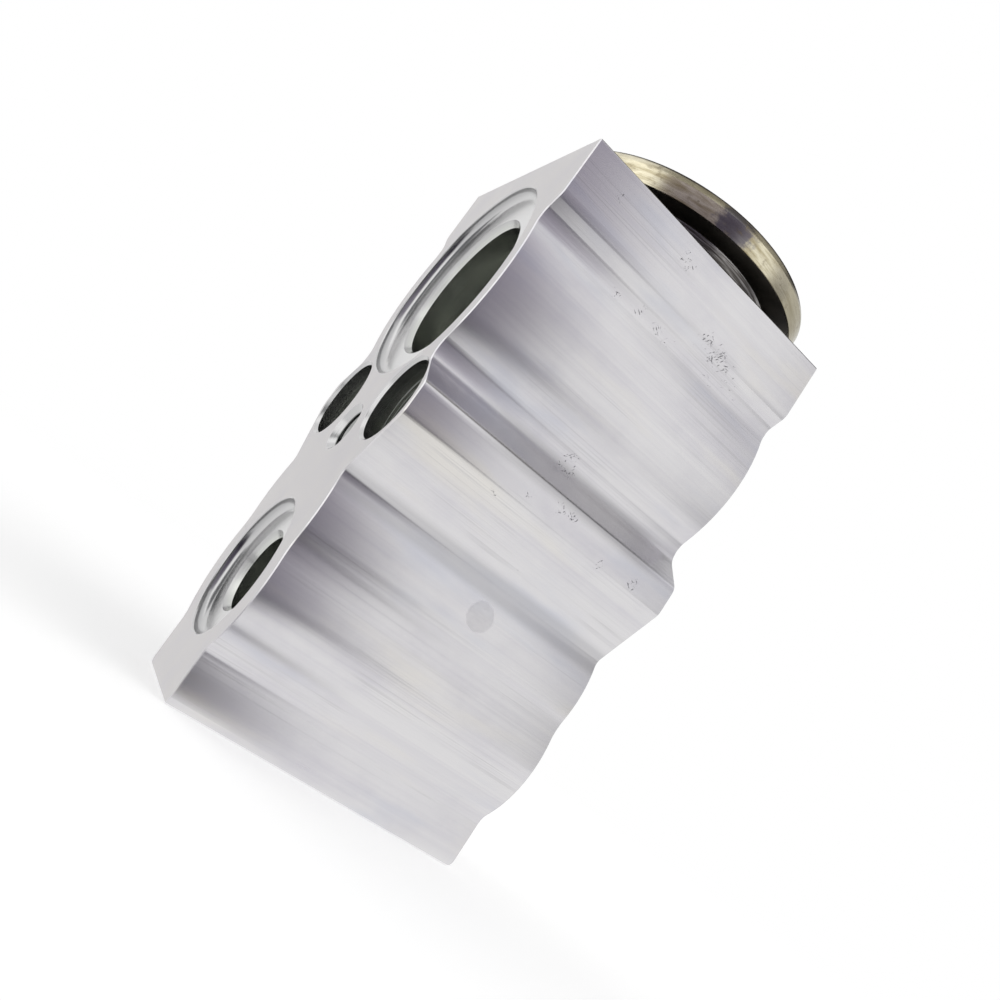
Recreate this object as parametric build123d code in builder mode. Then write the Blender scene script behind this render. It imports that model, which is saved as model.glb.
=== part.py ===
from build123d import *
import os
from math import cos, radians, sin, sqrt

# Block-type thermostatic expansion valve. An extruded aluminium block carries four ports, two fixing
# holes and one threaded hole. A power head screws into its top, and the ball, spring and adjusting
# screw sit in the stem bore under it.
# The origin is where the stem axis meets the underside of the foot. +Z points up to the power head,
# and -Y points out of the front face, which has the liquid port. All sizes are in millimetres.

# Block: heights of the holes' axes, each above the one before, then the wall left around the suction
# port's mouth, down to the fixing holes' axis and up to the block's top
INLET_Z = 15.2
OUTLET_RISE = 8.4
FIXING_RISE = 14.5
SUCTION_FLOOR = 3.5
SUCTION_ROOF = 3.0

# Block: depth, and the widths and corners of the section
BLOCK_DEPTH = 38.0
STEM_SETBACK = 21.0
FOOT_HALF = 8.5
SHOULDER_WALL = 6.3
SHOULDER_BELOW = 1.5
SHOULDER_ABOVE = 2.0
SHOULDER_LOWER_SLOPE = 56.3
SHOULDER_UPPER_SLOPE = 41.6
SHOULDER_ROOT = 2.0
WAIST_CUT = 1.15
PAD_OVERHANG = 1.65
PAD_HEIGHT = 7.4
PAD_STEP = 2.0
EDGE_BREAK = 0.12
FOOT_EDGE_R = 0.9
FOOT_ROOT_R = 2.0
VALLEY_R = 6.0
FLANK_ROOT_R = 1.2
SHOULDER_R = 1.5
NOTCH_R = 2.5
WAIST_ROOT_R = 2.0
PAD_STEP_R = 1.6
PAD_EDGE_R = 0.25

# Ports: radii, and the wall left outside each mouth
SUCTION_MOUTH_R = 13.7
SUCTION_SOCKET_R = 9.45
SUCTION_PASSAGE_R = 8.0
SUCTION_WALL = 2.1
OUTLET_MOUTH_R = 9.3
OUTLET_SOCKET_R = 5.8
OUTLET_PASSAGE_R = 3.2
OUTLET_WALL = 2.7
INLET_MOUTH_R = 8.8
INLET_SOCKET_R = 4.8
INLET_PASSAGE_R = 2.7
INLET_PASSAGE_DROP = 0.8
INLET_WALL = 3.3
MOUTH_DEPTH = 1.25
MOUTH_FILLET = 1.05
LEAD_IN_WIDTH = 0.5
LEAD_IN_DEPTH = 0.8
SOCKET_DEPTH = 9.0
BREAKTHROUGH = 1.0

# Fixing holes for two socket-head screws, and the threaded hole between them
FIXING_SPACING = 19.8
FIXING_HOLE_R = 3.3
FIXING_POCKET_R = 5.2
FIXING_POCKET_DEPTH = 7.0
FIXING_EDGE = 0.35
TAPPED_DROP = 4.1
TAPPED_R = 2.5
TAPPED_DEPTH = 12.0
TAPPED_MOUTH = 0.75
DRILL_TIP = 1.4

# Clearances
PIN_GAP = 0.05
SEAL_GAP = 0.05
THREAD_GAP = 0.05
PRESS_GAP = 0.01
CONTACT_GAP = 0.02
BALL_GAP = 0.05

# Stem: seat, ball, carrier and pin
SEAT_RISE = 2.4
SEAT_R = 4.0
SEAT_HEIGHT = 2.2
SEAT_ORIFICE_R = 1.3
SEAT_CONE = 0.5
SEAT_LIP_R = 2.4
BALL_R = 2.0
CHAMBER_R = 5.6
CARRIER_BOSS_R = 2.6
CARRIER_BOSS_HEIGHT = 0.5
CARRIER_FLANGE_R = 4.3
CARRIER_FLANGE_HEIGHT = 1.0
CARRIER_TOP_DROP = 1.1
CARRIER_SPIGOT_R = 2.9
CARRIER_SPIGOT_LENGTH = 1.5
PIN_R = 1.0
ROD_R = 2.6
ROD_PIN_DEPTH = 3.0
ROD_LIFT = 1.3
VALVE_TRAVEL = 0.8

# Vibration damper: a flat ring with spring legs that bear on the chamber wall
DAMPER_THICKNESS = 0.25
DAMPER_LEGS = 4
DAMPER_SLOT = 5.0
DAMPER_DROP = 2.6
DAMPER_WALL_GAP = 0.1

# Rod seal under the suction passage
SEAL_BORE_R = 2.7
SEAL_BORE_DEPTH = 5.3
SEAL_RING_R = 0.8
WASHER_HEIGHT = 0.7
RETAINER_HEIGHT = 0.4
RETAINER_R = 1.3
RETAINER_TEETH = 6
RETAINER_NOTCH = 0.7

# Superheat spring and adjusting screw
SPRING_MEAN_R = 3.7
SPRING_WIRE_R = 0.55
SPRING_TURNS = 5.5
SCREW_THREAD_R = 5.95
SCREW_RECESS = 1.4
SCREW_HEAD_HEIGHT = 2.8
SCREW_THREAD_LENGTH = 5.0
SCREW_CUP_R = 4.5
SCREW_CUP_DEPTH = 4.6
SCREW_HEAD_R = 6.4
SCREW_TRAVEL = 1.0
SCREW_GROOVE_R = 5.2
SCREW_GROOVE_WIDTH = 1.6
SCREW_GROOVE_INSET = 0.6
WELL_GAP = 0.1
WELL_END_GAP = 0.1
HEX_ACROSS_FLATS = 6.0
HEX_DEPTH = 2.0
ADJUSTER_RING_R = 0.6
SCREW_EDGE = 0.3

# Power head: threaded neck, lower cover, diaphragm, stopper, top cover and charge plug
NECK_THREAD_R = 10.95
NECK_LENGTH = 5.2
NECK_BORE_R = 6.0
NECK_RUNOUT = 0.8
COLLAR_SEAT_WIDTH = 1.5
COLLAR_FLARE = 0.9
COLLAR_HEIGHT = 1.9
COLLAR_EDGE = 0.15
ROD_SPACE_R = 5.0
HEAD_SEAL_R = 0.75
HEAD_SEAL_SPACE = 1.95
HEAD_RECESS_DEPTH = 1.6
STOPPER_R = 9.4
STOPPER_HEIGHT = 1.9
STOPPER_RISE = 0.5
STOPPER_BOSS_R = 4.0
STOPPER_BOSS_LENGTH = 2.5
STOPPER_SIDE_GAP = 0.2
STOPPER_STOP_GAP = 0.2
STOPPER_ROD_DEPTH = 3.2
COVER_OVERHANG = 3.8
SKIRT_THICKNESS = 0.55
SKIRT_DROP = 0.15
LOWER_COVER_BORE_GAP = 0.6
LOWER_COVER_THICKNESS = 0.8
LOWER_COVER_RIM_HEIGHT = 1.2
LOWER_COVER_DISH = 0.15
CLAMP_WIDTH = 2.4
DIAPHRAGM_THICKNESS = 0.15
DIAPHRAGM_EDGE_GAP = 0.2
WAVE_DEPTH = 0.3
RIM_TUCK = 0.4
RIM_FULL = 0.65
RIM_SHOULDER = 1.85
RIM_INSET = 0.8
RIM_ROUND = 0.25
DOME_HEIGHT = 4.3
DOME_THICKNESS = 0.8
DOME_FLAT_R = 7.0
DOME_BREAK = 2.0
DOME_BREAK_DROP = 0.8
DOME_SHOULDER_INSET = 3.9
DOME_SHOULDER_RISE = 0.25
CHARGE_HOLE_R = 1.0
PLUG_HEAD_R = 2.3
PLUG_HEAD_HEIGHT = 1.0
PLUG_EDGE = 0.5

# Places worked out from the sizes above
OUTLET_Z = INLET_Z + OUTLET_RISE
FIXING_Z = OUTLET_Z + FIXING_RISE
TAPPED_Z = FIXING_Z - TAPPED_DROP
SUCTION_Z = FIXING_Z + SUCTION_FLOOR + SUCTION_MOUTH_R
BLOCK_HEIGHT = SUCTION_Z + SUCTION_MOUTH_R + SUCTION_ROOF
FRONT_Y = -STEM_SETBACK
BACK_Y = BLOCK_DEPTH - STEM_SETBACK
SEAT_Z = INLET_Z + SEAT_RISE
SEAT_TOP = SEAT_Z + SEAT_HEIGHT
BALL_Z = SEAT_Z + SEAT_ORIFICE_R + SEAT_CONE - sqrt(2) * (BALL_R + BALL_GAP)
BALL_TOP = BALL_Z + BALL_R
CARRIER_TOP = BALL_Z - CARRIER_TOP_DROP
FLANGE_TOP = CARRIER_TOP - CARRIER_BOSS_HEIGHT
SPRING_TOP = FLANGE_TOP - CARRIER_FLANGE_HEIGHT
SCREW_SHOULDER = SCREW_RECESS + SCREW_HEAD_HEIGHT
SCREW_TOP = SCREW_SHOULDER + SCREW_THREAD_LENGTH
SPRING_BASE = SCREW_TOP - SCREW_CUP_DEPTH
WELL_R = SCREW_HEAD_R + WELL_GAP
WELL_TOP = SCREW_SHOULDER + SCREW_TRAVEL + WELL_END_GAP
THREAD_TOP = SCREW_TOP + SCREW_TRAVEL + WELL_END_GAP
PASSAGE_FLOOR = SUCTION_Z - SUCTION_PASSAGE_R
SEAL_FLOOR = PASSAGE_FLOOR - SEAL_BORE_DEPTH
SEAL_TOP = SEAL_FLOOR + 2 * (SEAL_RING_R + CONTACT_GAP)
WASHER_TOP = SEAL_TOP + WASHER_HEIGHT
ROD_BASE = PASSAGE_FLOOR + ROD_LIFT
PIN_TOP = ROD_BASE + ROD_PIN_DEPTH
HEAD_BORE_FLOOR = BLOCK_HEIGHT - NECK_LENGTH - NECK_RUNOUT
COLLAR_TOP = BLOCK_HEIGHT + COLLAR_HEIGHT
HEAD_RECESS_R = NECK_THREAD_R + HEAD_SEAL_SPACE
COLLAR_BASE_R = HEAD_RECESS_R + COLLAR_SEAT_WIDTH
COLLAR_TOP_R = COLLAR_BASE_R + COLLAR_FLARE
COVER_R = COLLAR_TOP_R + COVER_OVERHANG
LOWER_COVER_BORE_R = STOPPER_R + LOWER_COVER_BORE_GAP
RIM_PLANE = COLLAR_TOP + LOWER_COVER_RIM_HEIGHT
STOPPER_TOP = RIM_PLANE + STOPPER_RISE
STOPPER_BASE = STOPPER_TOP - STOPPER_HEIGHT
STOPPER_FLOOR = STOPPER_BASE - VALVE_TRAVEL - STOPPER_STOP_GAP
BOSS_BASE = STOPPER_BASE - STOPPER_BOSS_LENGTH
ROD_TOP = BOSS_BASE + STOPPER_ROD_DEPTH
CLAMP_PLANE = RIM_PLANE + DIAPHRAGM_THICKNESS + CONTACT_GAP
LOWER_COVER_R = COVER_R - SKIRT_THICKNESS - CONTACT_GAP
DOME_TOP = RIM_PLANE + DOME_HEIGHT


def mirrored(points):
    """Add the left-hand twin of each point of a right-hand outline, so that it closes."""
    return points + [(-x, z) for x, z in reversed(points)]


def root(half, height, slope, bulge_z, bulge_r, beyond=0.0):
    """Where a flank that runs inwards from (half, height) enters a bulge, or a set way beyond that.

    slope is in degrees from the horizontal, and positive for a flank that falls towards the bulge.
    """
    run, fall = cos(radians(slope)), sin(radians(slope))
    towards = half * run + (height - bulge_z) * fall
    along = towards - sqrt(towards**2 - half**2 - (height - bulge_z) ** 2 + bulge_r**2) + beyond
    return half - along * run, height - along * fall


def corners(sketch, x, z):
    """The vertices of a sketch that lie nearest to (x, z) and to its mirror image."""
    return [sketch.vertices().sort_by_distance((side * x, z))[0] for side in (1, -1)]


def turned(points):
    """Revolve a closed half-section, given as (radius, height) points, about the stem axis."""
    with BuildSketch(Plane.XZ) as half_section:
        with BuildLine():
            Polyline(*points, close=True)
        make_face()
    revolve(half_section.sketch, axis=Axis.Z)


def bored(x, z, face_y, inward, profile, root=None):
    """Cut a turned hole into a face, on an axis along Y.

    profile lists (depth, radius) from the face inwards and ends on the axis, inward is +1 or -1 along
    Y, and root is an optional (depth, radius, fillet) for the corner at the foot of a counterbore.
    """
    outline = [(0, 0)] + profile
    with BuildSketch(Plane.YZ.offset(x)) as half_section:
        with BuildLine():
            Polyline(*[(face_y + inward * depth, z + radius) for depth, radius in outline], close=True)
        make_face()
        if root:
            depth, radius, size = root
            corner = half_section.vertices().sort_by_distance((face_y + inward * depth, z + radius))[0]
            fillet(corner, size)
    revolve(half_section.sketch, axis=Axis((x, face_y, z), (0, 1, 0)), mode=Mode.SUBTRACT)


def port(z, face_y, inward, mouth_r, socket_r):
    """Cut a port: broken edge, shallow counterbore with a rounded root, conical lead-in and socket."""
    profile = [
        (0, mouth_r + EDGE_BREAK),
        (EDGE_BREAK, mouth_r),
        (MOUTH_DEPTH, mouth_r),
        (MOUTH_DEPTH, socket_r + LEAD_IN_WIDTH),
        (MOUTH_DEPTH + LEAD_IN_DEPTH, socket_r),
        (SOCKET_DEPTH, socket_r),
        (SOCKET_DEPTH, 0),
    ]
    bored(0, z, face_y, inward, profile, root=(MOUTH_DEPTH, mouth_r, MOUTH_FILLET))


def passage(radius, z, y_from, y_to):
    """Drill a straight passage along Y between two depths."""
    with Locations((0, (y_from + y_to) / 2, z)):
        Cylinder(radius, y_to - y_from, rotation=(90, 0, 0), mode=Mode.SUBTRACT)


def write(part, name):
    """Label a finished part and write its STEP file."""
    part.label = name
    export_step(part, f"parts/{name}.step")


os.makedirs("parts", exist_ok=True)

# Valve block: the section is round bulges about the ports, joined by a sloped shoulder at the fixing
# holes, a neck and a wide pad under the power head, and a narrow foot
SUCTION_BULGE_R = SUCTION_MOUTH_R + SUCTION_WALL
OUTLET_BULGE_R = OUTLET_MOUTH_R + OUTLET_WALL
INLET_BULGE_R = INLET_MOUTH_R + INLET_WALL
SHOULDER_HALF = FIXING_SPACING / 2 + SHOULDER_WALL
SHOULDER_LOW_Z = FIXING_Z - SHOULDER_BELOW
SHOULDER_HIGH_Z = FIXING_Z + SHOULDER_ABOVE
WAIST_HALF = SUCTION_BULGE_R - WAIST_CUT
PAD_HALF = WAIST_HALF + PAD_OVERHANG
PAD_BASE_Z = BLOCK_HEIGHT - PAD_HEIGHT
PAD_STEP_Z = PAD_BASE_Z - PAD_STEP
WAIST_ROOT_Z = SUCTION_Z + sqrt(SUCTION_BULGE_R**2 - WAIST_HALF**2)
FOOT_ROOT_Z = INLET_Z - sqrt(INLET_BULGE_R**2 - FOOT_HALF**2)
VALLEY_Z = (INLET_Z + OUTLET_Z) / 2 + (INLET_BULGE_R**2 - OUTLET_BULGE_R**2) / (2 * OUTLET_RISE)
VALLEY_HALF = sqrt(INLET_BULGE_R**2 - (VALLEY_Z - INLET_Z) ** 2)

lower_flank = (SHOULDER_HALF, SHOULDER_LOW_Z, SHOULDER_LOWER_SLOPE, OUTLET_Z, OUTLET_BULGE_R)
upper_flank = (SHOULDER_HALF, SHOULDER_HIGH_Z, -SHOULDER_UPPER_SLOPE, SUCTION_Z, SUCTION_BULGE_R)
shoulder = [
    root(*lower_flank, beyond=SHOULDER_ROOT),
    (SHOULDER_HALF, SHOULDER_LOW_Z),
    (SHOULDER_HALF, SHOULDER_HIGH_Z),
    root(*upper_flank, beyond=SHOULDER_ROOT),
]
pad = [
    (WAIST_HALF, SUCTION_Z),
    (WAIST_HALF, PAD_STEP_Z),
    (PAD_HALF, PAD_BASE_Z),
    (PAD_HALF, BLOCK_HEIGHT),
]
foot = [(FOOT_HALF, 0), (FOOT_HALF, INLET_Z)]

# The section's corners, each as (x, z) and radius
section_corners = [
    ((FOOT_HALF, 0), FOOT_EDGE_R),
    ((FOOT_HALF, FOOT_ROOT_Z), FOOT_ROOT_R),
    ((VALLEY_HALF, VALLEY_Z), VALLEY_R),
    (root(*lower_flank), FLANK_ROOT_R),
    ((SHOULDER_HALF, SHOULDER_LOW_Z), SHOULDER_R),
    ((SHOULDER_HALF, SHOULDER_HIGH_Z), SHOULDER_R),
    (root(*upper_flank), NOTCH_R),
    ((WAIST_HALF, WAIST_ROOT_Z), WAIST_ROOT_R),
    ((WAIST_HALF, PAD_STEP_Z), PAD_STEP_R),
    ((PAD_HALF, PAD_BASE_Z), PAD_STEP_R),
    ((PAD_HALF, BLOCK_HEIGHT), PAD_EDGE_R),
]

# Bores along the stem axis, as (radius, from, to)
stem_bores = [
    (WELL_R, 0, WELL_TOP),
    (SCREW_THREAD_R + THREAD_GAP, WELL_TOP, THREAD_TOP),
    (CHAMBER_R, THREAD_TOP, SEAT_Z),
    (SEAT_R, SEAT_Z, SEAT_TOP),
    (SEAT_LIP_R, SEAT_TOP, OUTLET_Z),
    (PIN_R + PIN_GAP, OUTLET_Z, SEAL_FLOOR),
    (SEAL_BORE_R, SEAL_FLOOR, SUCTION_Z),
    (ROD_SPACE_R, SUCTION_Z, HEAD_BORE_FLOOR),
    (NECK_THREAD_R + THREAD_GAP, HEAD_BORE_FLOOR, BLOCK_HEIGHT),
    (HEAD_RECESS_R, BLOCK_HEIGHT - HEAD_RECESS_DEPTH, BLOCK_HEIGHT),
]

with BuildPart() as valve_block:
    with BuildSketch(Plane.XZ.offset(-BACK_Y)) as section:
        with Locations((0, SUCTION_Z)):
            Circle(SUCTION_BULGE_R)
        with Locations((0, OUTLET_Z)):
            Circle(OUTLET_BULGE_R)
        with Locations((0, INLET_Z)):
            Circle(INLET_BULGE_R)
        for outline in (shoulder, pad, foot):
            with BuildLine():
                Polyline(*mirrored(outline), close=True)
            make_face()
        for place, radius in section_corners:
            fillet(corners(section, *place), radius)
    extrude(amount=BLOCK_DEPTH)
    end_faces = valve_block.faces().sort_by(Axis.Y)
    chamfer(end_faces[0].edges() + end_faces[-1].edges(), EDGE_BREAK)

    port(SUCTION_Z, FRONT_Y, 1, SUCTION_MOUTH_R, SUCTION_SOCKET_R)
    port(SUCTION_Z, BACK_Y, -1, SUCTION_MOUTH_R, SUCTION_SOCKET_R)
    port(INLET_Z, FRONT_Y, 1, INLET_MOUTH_R, INLET_SOCKET_R)
    port(OUTLET_Z, BACK_Y, -1, OUTLET_MOUTH_R, OUTLET_SOCKET_R)
    passage(SUCTION_PASSAGE_R, SUCTION_Z, FRONT_Y + SOCKET_DEPTH, BACK_Y - SOCKET_DEPTH)
    passage(INLET_PASSAGE_R, INLET_Z - INLET_PASSAGE_DROP, FRONT_Y + SOCKET_DEPTH, BREAKTHROUGH - CHAMBER_R)
    passage(OUTLET_PASSAGE_R, OUTLET_Z, -OUTLET_PASSAGE_R, BACK_Y - SOCKET_DEPTH)

    fixing_profile = [
        (0, FIXING_POCKET_R + FIXING_EDGE),
        (FIXING_EDGE, FIXING_POCKET_R),
        (FIXING_POCKET_DEPTH, FIXING_POCKET_R),
        (FIXING_POCKET_DEPTH, FIXING_HOLE_R),
        (BLOCK_DEPTH, FIXING_HOLE_R),
        (BLOCK_DEPTH, 0),
    ]
    for side in (1, -1):
        bored(side * FIXING_SPACING / 2, FIXING_Z, FRONT_Y, 1, fixing_profile)
    tapped_profile = [
        (0, TAPPED_R + TAPPED_MOUTH),
        (TAPPED_MOUTH, TAPPED_R),
        (TAPPED_DEPTH, TAPPED_R),
        (TAPPED_DEPTH + DRILL_TIP, 0),
    ]
    bored(0, TAPPED_Z, FRONT_Y, 1, tapped_profile)

    for radius, bottom, top in stem_bores:
        with Locations((0, 0, bottom)):
            Cylinder(radius, top - bottom, align=(Align.CENTER, Align.CENTER, Align.MIN), mode=Mode.SUBTRACT)
write(valve_block.part, "valve_block")

# Valve seat: a hard ring pressed up against a lip, with a conical seat round its orifice
with BuildPart() as valve_seat:
    turned([
        (SEAT_ORIFICE_R + SEAT_CONE, SEAT_Z),
        (SEAT_R - PRESS_GAP, SEAT_Z),
        (SEAT_R - PRESS_GAP, SEAT_TOP),
        (SEAT_ORIFICE_R, SEAT_TOP),
        (SEAT_ORIFICE_R, SEAT_Z + SEAT_CONE),
    ])
write(valve_seat.part, "valve_seat")

# Ball, which closes the seat from below
with BuildPart() as valve_ball:
    with Locations((0, 0, BALL_Z)):
        Sphere(BALL_R)
write(valve_ball.part, "valve_ball")

# Ball carrier: a cup for the ball, a flange for the damper and spring, and a spigot inside the spring
CUP_APEX = BALL_Z - sqrt(2) * (BALL_R + CONTACT_GAP)
with BuildPart() as ball_carrier:
    turned([
        (0, CUP_APEX),
        (CARRIER_TOP - CUP_APEX, CARRIER_TOP),
        (CARRIER_BOSS_R, CARRIER_TOP),
        (CARRIER_BOSS_R, FLANGE_TOP),
        (CARRIER_FLANGE_R, FLANGE_TOP),
        (CARRIER_FLANGE_R, SPRING_TOP),
        (CARRIER_SPIGOT_R, SPRING_TOP),
        (CARRIER_SPIGOT_R, SPRING_TOP - CARRIER_SPIGOT_LENGTH),
        (0, SPRING_TOP - CARRIER_SPIGOT_LENGTH),
    ])
write(ball_carrier.part, "ball_carrier")

# Vibration damper: the ring lies on the flange and the legs slope out to the chamber wall
DAMPER_BASE = FLANGE_TOP + CONTACT_GAP
DAMPER_TOP = DAMPER_BASE + DAMPER_THICKNESS
DAMPER_RING_R = CARRIER_FLANGE_R + DAMPER_THICKNESS
DAMPER_TIP_R = CHAMBER_R - DAMPER_WALL_GAP
with BuildPart() as damper_spring:
    turned([
        (CARRIER_BOSS_R + SEAL_GAP, DAMPER_BASE),
        (CARRIER_FLANGE_R + SEAL_GAP, DAMPER_BASE),
        (DAMPER_TIP_R - DAMPER_THICKNESS, DAMPER_TOP - DAMPER_DROP),
        (DAMPER_TIP_R, DAMPER_TOP - DAMPER_DROP),
        (DAMPER_RING_R, DAMPER_TOP),
        (CARRIER_BOSS_R + SEAL_GAP, DAMPER_TOP),
    ])
    with PolarLocations(DAMPER_RING_R, DAMPER_LEGS, start_angle=180 / DAMPER_LEGS):
        with Locations((0, 0, DAMPER_TOP - DAMPER_DROP)):
            Box(CHAMBER_R, DAMPER_SLOT, 2 * DAMPER_DROP, align=(Align.MIN, Align.CENTER, Align.CENTER), mode=Mode.SUBTRACT)
write(damper_spring.part, "damper_spring")

# Push pin, from the ball up through the seat, the guide bore and the rod seal
with BuildPart() as push_pin:
    with Locations((0, 0, BALL_TOP + CONTACT_GAP)):
        Cylinder(PIN_R, PIN_TOP - BALL_TOP - CONTACT_GAP, align=(Align.CENTER, Align.CENTER, Align.MIN))
write(push_pin.part, "push_pin")

# Sensing rod, which crosses the suction passage and carries the stopper
with BuildPart() as sensing_rod:
    turned([
        (PIN_R + PRESS_GAP, ROD_BASE),
        (ROD_R, ROD_BASE),
        (ROD_R, ROD_TOP),
        (0, ROD_TOP),
        (0, PIN_TOP + CONTACT_GAP),
        (PIN_R + PRESS_GAP, PIN_TOP + CONTACT_GAP),
    ])
write(sensing_rod.part, "sensing_rod")

# Rod seal, its backing washer and the toothed retainer that holds them down
with BuildPart() as rod_seal:
    with Locations((0, 0, SEAL_FLOOR + SEAL_RING_R + CONTACT_GAP)):
        Torus(PIN_R + SEAL_GAP + SEAL_RING_R, SEAL_RING_R)
write(rod_seal.part, "rod_seal")

with BuildPart() as seal_washer:
    with Locations((0, 0, SEAL_TOP)):
        Cylinder(SEAL_BORE_R - SEAL_GAP, WASHER_HEIGHT, align=(Align.CENTER, Align.CENTER, Align.MIN))
        Cylinder(PIN_R + PIN_GAP, WASHER_HEIGHT, align=(Align.CENTER, Align.CENTER, Align.MIN), mode=Mode.SUBTRACT)
write(seal_washer.part, "seal_washer")

with BuildPart() as seal_retainer:
    with BuildSketch(Plane.XY.offset(WASHER_TOP)):
        Circle(SEAL_BORE_R - PRESS_GAP)
        Circle(RETAINER_R, mode=Mode.SUBTRACT)
        with PolarLocations(SEAL_BORE_R, RETAINER_TEETH):
            Rectangle(RETAINER_NOTCH, RETAINER_NOTCH, mode=Mode.SUBTRACT)
    extrude(amount=RETAINER_HEIGHT)
write(seal_retainer.part, "seal_retainer")

# Superheat spring, with both ends ground flat
with BuildPart() as superheat_spring:
    with BuildLine() as coil:
        Helix((SPRING_TOP - SPRING_BASE) / SPRING_TURNS, SPRING_TOP - SPRING_BASE, SPRING_MEAN_R, center=(0, 0, SPRING_BASE))
    with BuildSketch(Plane(origin=coil.line @ 0, z_dir=coil.line % 0)):
        Circle(SPRING_WIRE_R)
    sweep(is_frenet=True)
    split(bisect_by=Plane.XY.offset(SPRING_TOP), keep=Keep.BOTTOM)
    split(bisect_by=Plane.XY.offset(SPRING_BASE), keep=Keep.TOP)
write(superheat_spring.part, "superheat_spring")

# Adjusting screw: a grooved head with a hexagon socket, a thread, and a cup for the spring
GROOVE_BASE = SCREW_RECESS + SCREW_GROOVE_INSET
with BuildPart() as adjusting_screw:
    turned([
        (0, SCREW_RECESS),
        (SCREW_HEAD_R - SCREW_EDGE, SCREW_RECESS),
        (SCREW_HEAD_R, SCREW_RECESS + SCREW_EDGE),
        (SCREW_HEAD_R, GROOVE_BASE),
        (SCREW_GROOVE_R, GROOVE_BASE),
        (SCREW_GROOVE_R, GROOVE_BASE + SCREW_GROOVE_WIDTH),
        (SCREW_HEAD_R, GROOVE_BASE + SCREW_GROOVE_WIDTH),
        (SCREW_HEAD_R, SCREW_SHOULDER),
        (SCREW_THREAD_R, SCREW_SHOULDER),
        (SCREW_THREAD_R, SCREW_TOP - SCREW_EDGE),
        (SCREW_THREAD_R - SCREW_EDGE, SCREW_TOP),
        (SCREW_CUP_R, SCREW_TOP),
        (SCREW_CUP_R, SPRING_BASE),
        (0, SPRING_BASE),
    ])
    with BuildSketch(Plane.XY.offset(SCREW_RECESS)):
        RegularPolygon(HEX_ACROSS_FLATS / 2, 6, major_radius=False)
    extrude(amount=HEX_DEPTH, mode=Mode.SUBTRACT)
write(adjusting_screw.part, "adjusting_screw")

with BuildPart() as adjuster_seal:
    with Locations((0, 0, GROOVE_BASE + SCREW_GROOVE_WIDTH / 2)):
        Torus(SCREW_GROOVE_R + SEAL_GAP + ADJUSTER_RING_R, ADJUSTER_RING_R)
write(adjuster_seal.part, "adjuster_seal")

# Power head neck: a thread for the block, a collar that seats on it, and a well for the stopper
with BuildPart() as head_neck:
    turned([
        (NECK_BORE_R, BLOCK_HEIGHT - NECK_LENGTH),
        (NECK_THREAD_R, BLOCK_HEIGHT - NECK_LENGTH),
        (NECK_THREAD_R, BLOCK_HEIGHT),
        (COLLAR_BASE_R, BLOCK_HEIGHT),
        (COLLAR_TOP_R, COLLAR_TOP - COLLAR_EDGE),
        (COLLAR_TOP_R - COLLAR_EDGE, COLLAR_TOP),
        (STOPPER_R + STOPPER_SIDE_GAP, COLLAR_TOP),
        (STOPPER_R + STOPPER_SIDE_GAP, STOPPER_FLOOR),
        (NECK_BORE_R, STOPPER_FLOOR),
    ])
write(head_neck.part, "head_neck")

with BuildPart() as head_seal:
    with Locations((0, 0, BLOCK_HEIGHT - HEAD_RECESS_DEPTH + HEAD_SEAL_R + SEAL_GAP)):
        Torus((NECK_THREAD_R + HEAD_RECESS_R) / 2, HEAD_SEAL_R)
write(head_seal.part, "head_seal")

# Lower cover: a dished ring on the collar, with a raised rim that clamps the diaphragm
with BuildPart() as head_lower_cover:
    turned([
        (LOWER_COVER_BORE_R, COLLAR_TOP),
        (COLLAR_TOP_R, COLLAR_TOP),
        (LOWER_COVER_R, COLLAR_TOP + LOWER_COVER_DISH),
        (LOWER_COVER_R, RIM_PLANE),
        (LOWER_COVER_R - CLAMP_WIDTH, RIM_PLANE),
        (COLLAR_TOP_R, COLLAR_TOP + LOWER_COVER_THICKNESS),
        (LOWER_COVER_BORE_R, COLLAR_TOP + LOWER_COVER_THICKNESS),
    ])
write(head_lower_cover.part, "head_lower_cover")

# Diaphragm: a thin disc with rings pressed into it, clamped at its edge and resting on the stopper
DIAPHRAGM_R = LOWER_COVER_R - DIAPHRAGM_EDGE_GAP
WAVE_INNER_R = STOPPER_R
WAVE_OUTER_R = DIAPHRAGM_R - CLAMP_WIDTH
WAVE_STEP = (WAVE_OUTER_R - WAVE_INNER_R) / 4
REST_Z = STOPPER_TOP + CONTACT_GAP
WAVE_CREST = RIM_PLANE + WAVE_DEPTH
lower_skin = [
    (0, REST_Z),
    (WAVE_INNER_R, REST_Z),
    (WAVE_INNER_R + WAVE_STEP, RIM_PLANE),
    (WAVE_INNER_R + 2 * WAVE_STEP, WAVE_CREST),
    (WAVE_INNER_R + 3 * WAVE_STEP, RIM_PLANE),
    (WAVE_OUTER_R, RIM_PLANE + CONTACT_GAP),
    (DIAPHRAGM_R, RIM_PLANE + CONTACT_GAP / 2),
]
upper_skin = [(radius, height + DIAPHRAGM_THICKNESS) for radius, height in reversed(lower_skin)]
with BuildPart() as diaphragm:
    turned(lower_skin + upper_skin)
write(diaphragm.part, "diaphragm")

# Stopper: the plate under the diaphragm, with a boss that takes the rod's end
with BuildPart() as diaphragm_stopper:
    turned([
        (ROD_R + PRESS_GAP, BOSS_BASE),
        (STOPPER_BOSS_R, BOSS_BASE),
        (STOPPER_BOSS_R, STOPPER_BASE),
        (STOPPER_R, STOPPER_BASE),
        (STOPPER_R, STOPPER_TOP),
        (0, STOPPER_TOP),
        (0, ROD_TOP + CONTACT_GAP),
        (ROD_R + PRESS_GAP, ROD_TOP + CONTACT_GAP),
    ])
write(diaphragm_stopper.part, "diaphragm_stopper")

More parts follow.
